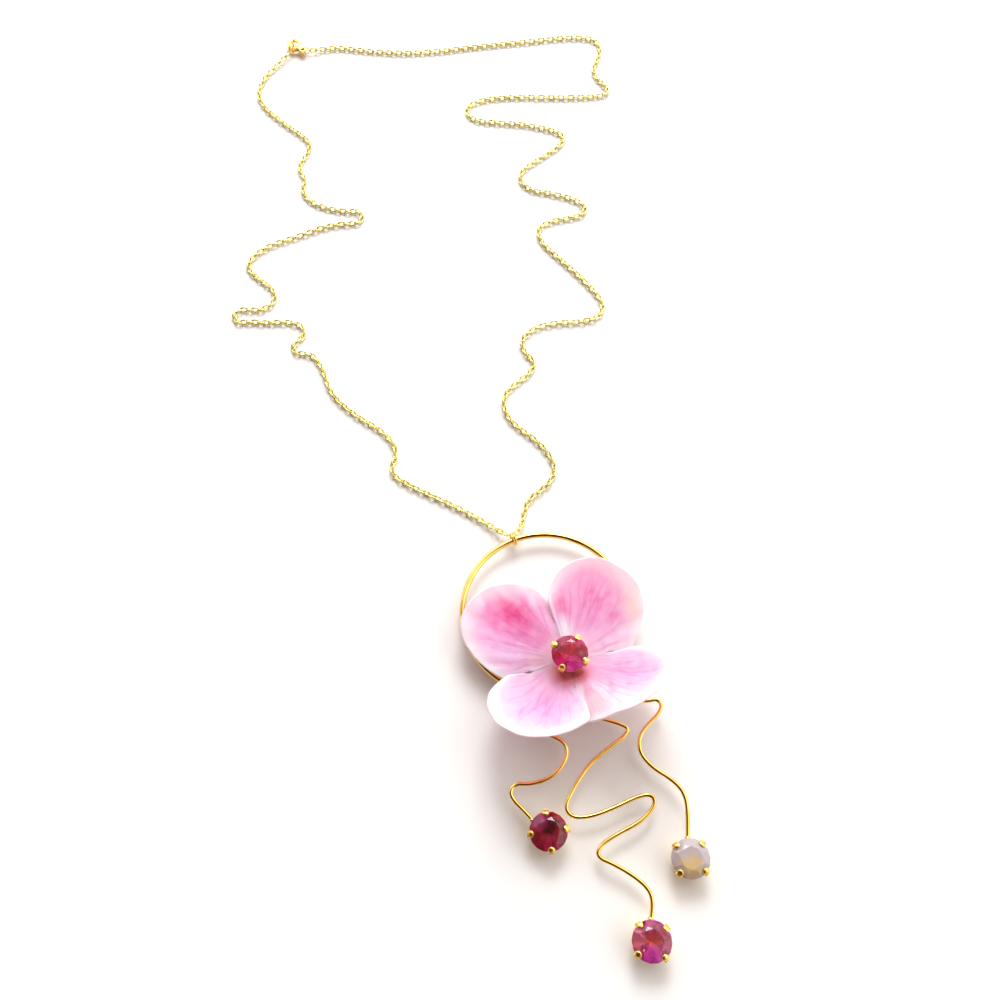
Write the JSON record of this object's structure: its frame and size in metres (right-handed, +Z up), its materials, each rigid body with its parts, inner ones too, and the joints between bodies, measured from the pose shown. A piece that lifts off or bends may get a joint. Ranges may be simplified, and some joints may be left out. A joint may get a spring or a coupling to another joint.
{
  "type": "pendant necklace",
  "caption": "Fine neck chain closed by a claw clasp, with a round hoop pendant, a cloth flower behind a faceted stone, and faceted stones hanging on wavy wires.",
  "frame": {"origin": "middle of the whole necklace, on the table that it lies on", "axes": "+Y from the hanging stones to the clasp, +Z up from the table, +X to the right as the pendant is seen from above"},
  "size_m": [0.12, 0.2694, 0.0227],
  "materials": {
    "gold": "polished gold colour",
    "chain_gold": "pale polished gold colour",
    "petal_cloth": "soft pressed cloth",
    "red_stone": "faceted and foiled",
    "rose_stone": "faceted and foiled",
    "purple_stone": "faceted and foiled",
    "milky_stone": "faceted and milky"
  },
  "bodies": {
    "necklace": {"hoop": "gold", "flower": "petal_cloth", "flower_setting": "gold", "flower_stone": "red_stone", "drop_left": "gold", "drop_middle": "gold", "drop_right": "gold", "stone_left": "rose_stone", "stone_middle": "purple_stone", "stone_right": "milky_stone", "hoop_ring": "gold", "chain_left": "chain_gold", "chain_right": "chain_gold", "clasp_body": "gold", "clasp_ring": "gold", "tail_ring": "gold"},
    "lever": {"clasp_lever": "gold"}
  },
  "joints": [
    {"name": "lever_pivot", "type": "hinge", "parent": "necklace", "child": "lever", "pos_m": [-0.04804, 0.12921, 0.00155], "axis": [0, 0, 1], "range_deg": [0, 20], "stiffness_Nm_per_rad": 0.001, "springref_deg": -11.46}
  ]
}
